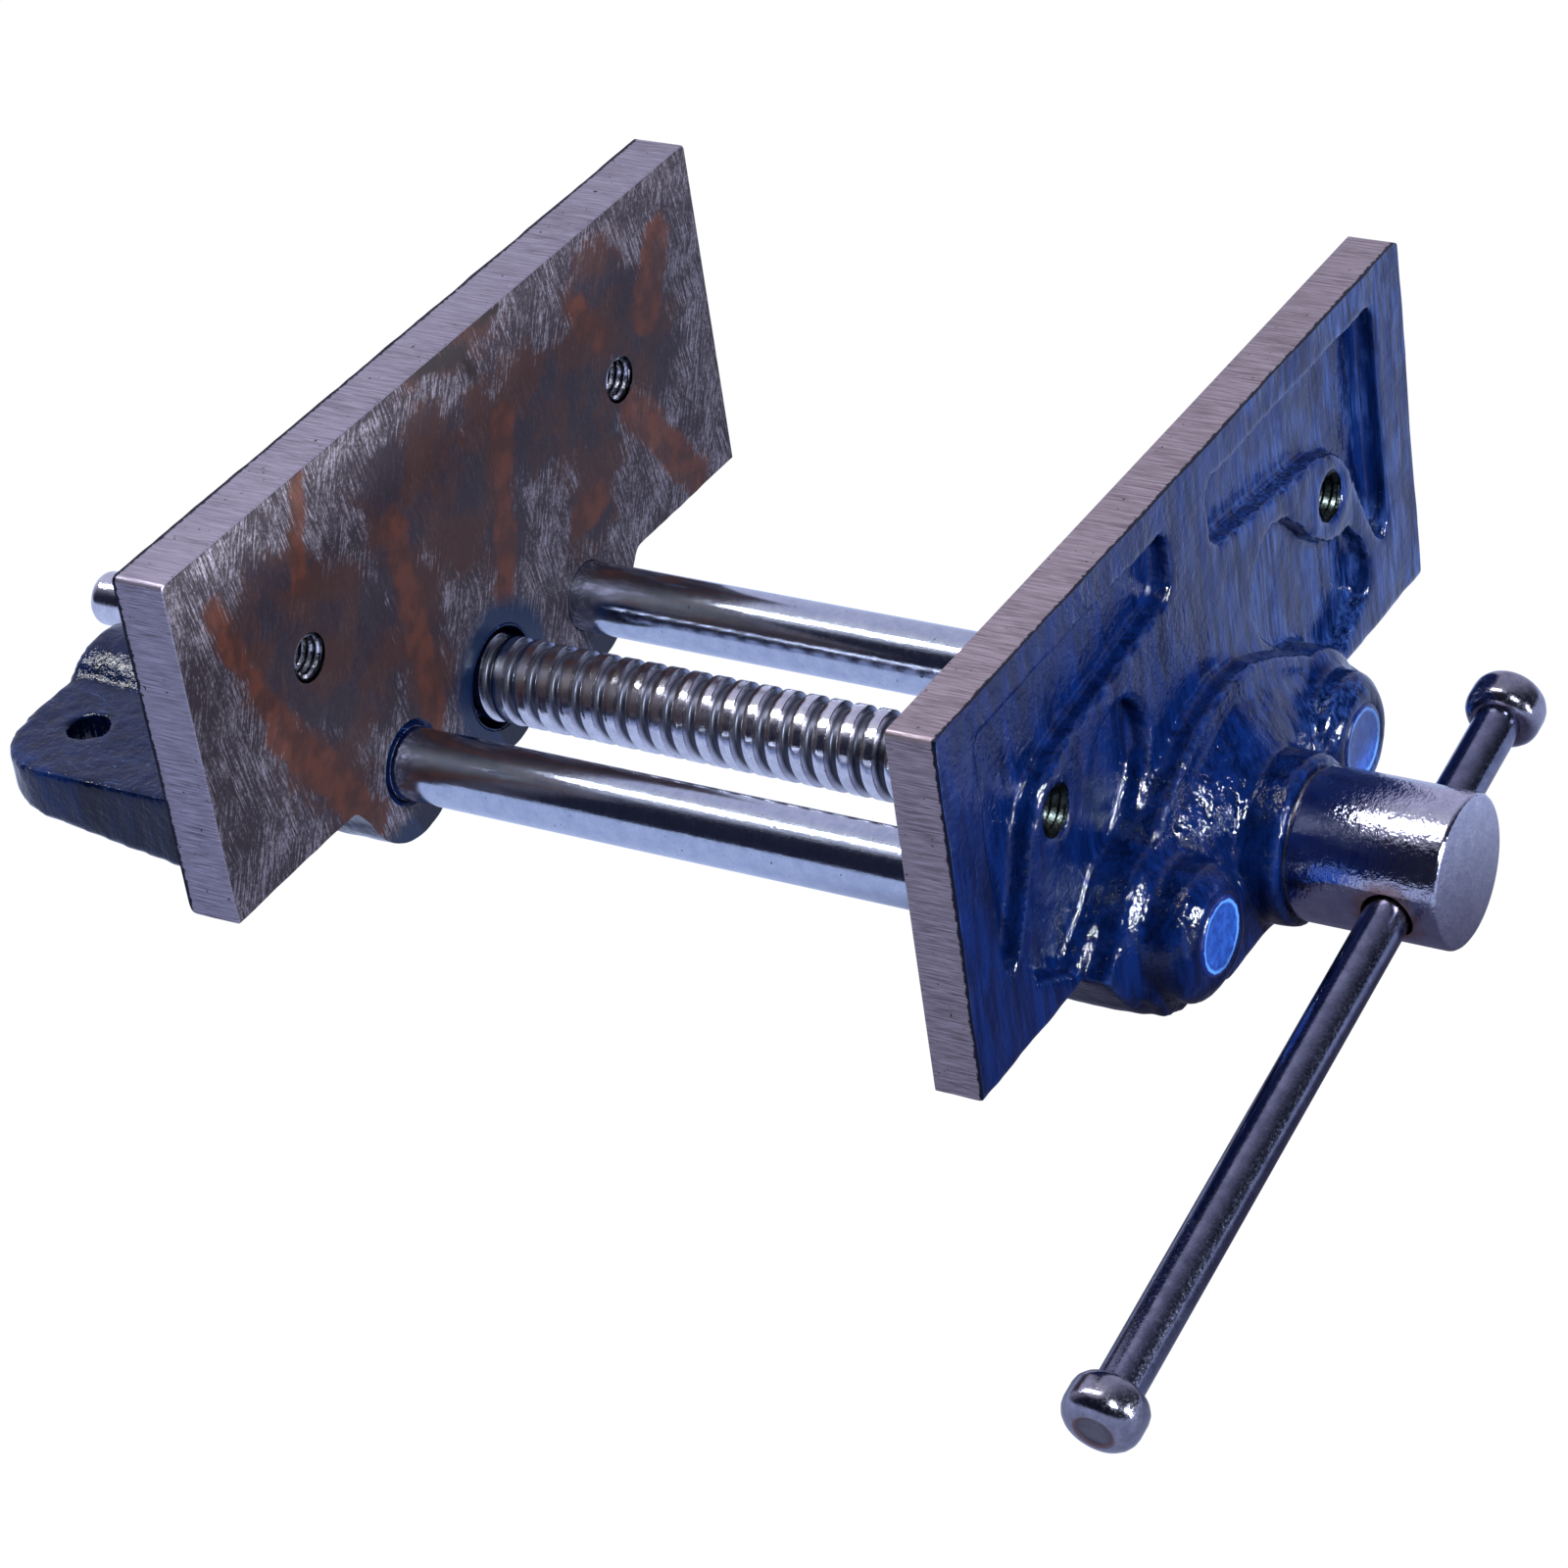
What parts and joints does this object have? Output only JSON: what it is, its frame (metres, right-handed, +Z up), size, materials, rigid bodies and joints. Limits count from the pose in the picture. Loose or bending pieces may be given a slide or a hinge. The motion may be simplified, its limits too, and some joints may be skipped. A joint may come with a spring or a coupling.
{
  "type": "woodworker's vice",
  "caption": "Plain-screw bench vice: rear jaw casting with mounting lugs, front jaw sliding on two guide bars, lead screw with a sliding cross handle.",
  "frame": {"origin": "midway between the two bench bolt holes, on the top faces of the mounting lugs", "axes": "+Z up towards the bench top, -Y towards the front jaw and handle, +X to the right seen from the front"},
  "size_m": [0.2171, 0.2975, 0.103],
  "materials": {
    "blue_enamel": "gloss enamel on cast iron, machined jaw faces bare",
    "polished_steel": "polished",
    "turned_steel": "turned, lightly pitted",
    "dark_steel": "dark polished",
    "plain_steel": "oiled",
    "bronze": "machined"
  },
  "bodies": {
    "rear_jaw": {"rear_jaw_casting": "blue_enamel", "screw_nut": "bronze", "nut_lock_screw": "plain_steel"},
    "front_jaw": {"front_jaw_casting": "blue_enamel", "guide_bar_left": "polished_steel", "guide_bar_right": "polished_steel", "guide_bar_pins": "plain_steel"},
    "screw": {"lead_screw": "polished_steel", "screw_head": "turned_steel", "thrust_washer": "plain_steel", "retaining_collar": "plain_steel", "collar_pin": "plain_steel"},
    "handle": {"handle_bar": "dark_steel", "handle_knob_left": "dark_steel", "handle_knob_right": "dark_steel"}
  },
  "joints": [
    {"name": "jaw_slide", "type": "slide", "parent": "rear_jaw", "child": "front_jaw", "axis": [0, -1, 0], "range_m": [-0.143, 0.02]},
    {"name": "screw_turn", "type": "hinge", "parent": "front_jaw", "child": "screw", "pos_m": [0, -0.199, -0.0112], "axis": [0, -1, 0], "range_deg": [-10132.9, 1416.3]},
    {"name": "handle_slide", "type": "slide", "parent": "screw", "child": "handle", "axis": [0.981, 0, 0.1942], "range_m": [-0.0207, 0.1077]}
  ],
  "couplings": [
    {"joint": "jaw_slide", "follows": "screw_turn", "m_per_rad": 0.00080851}
  ]
}
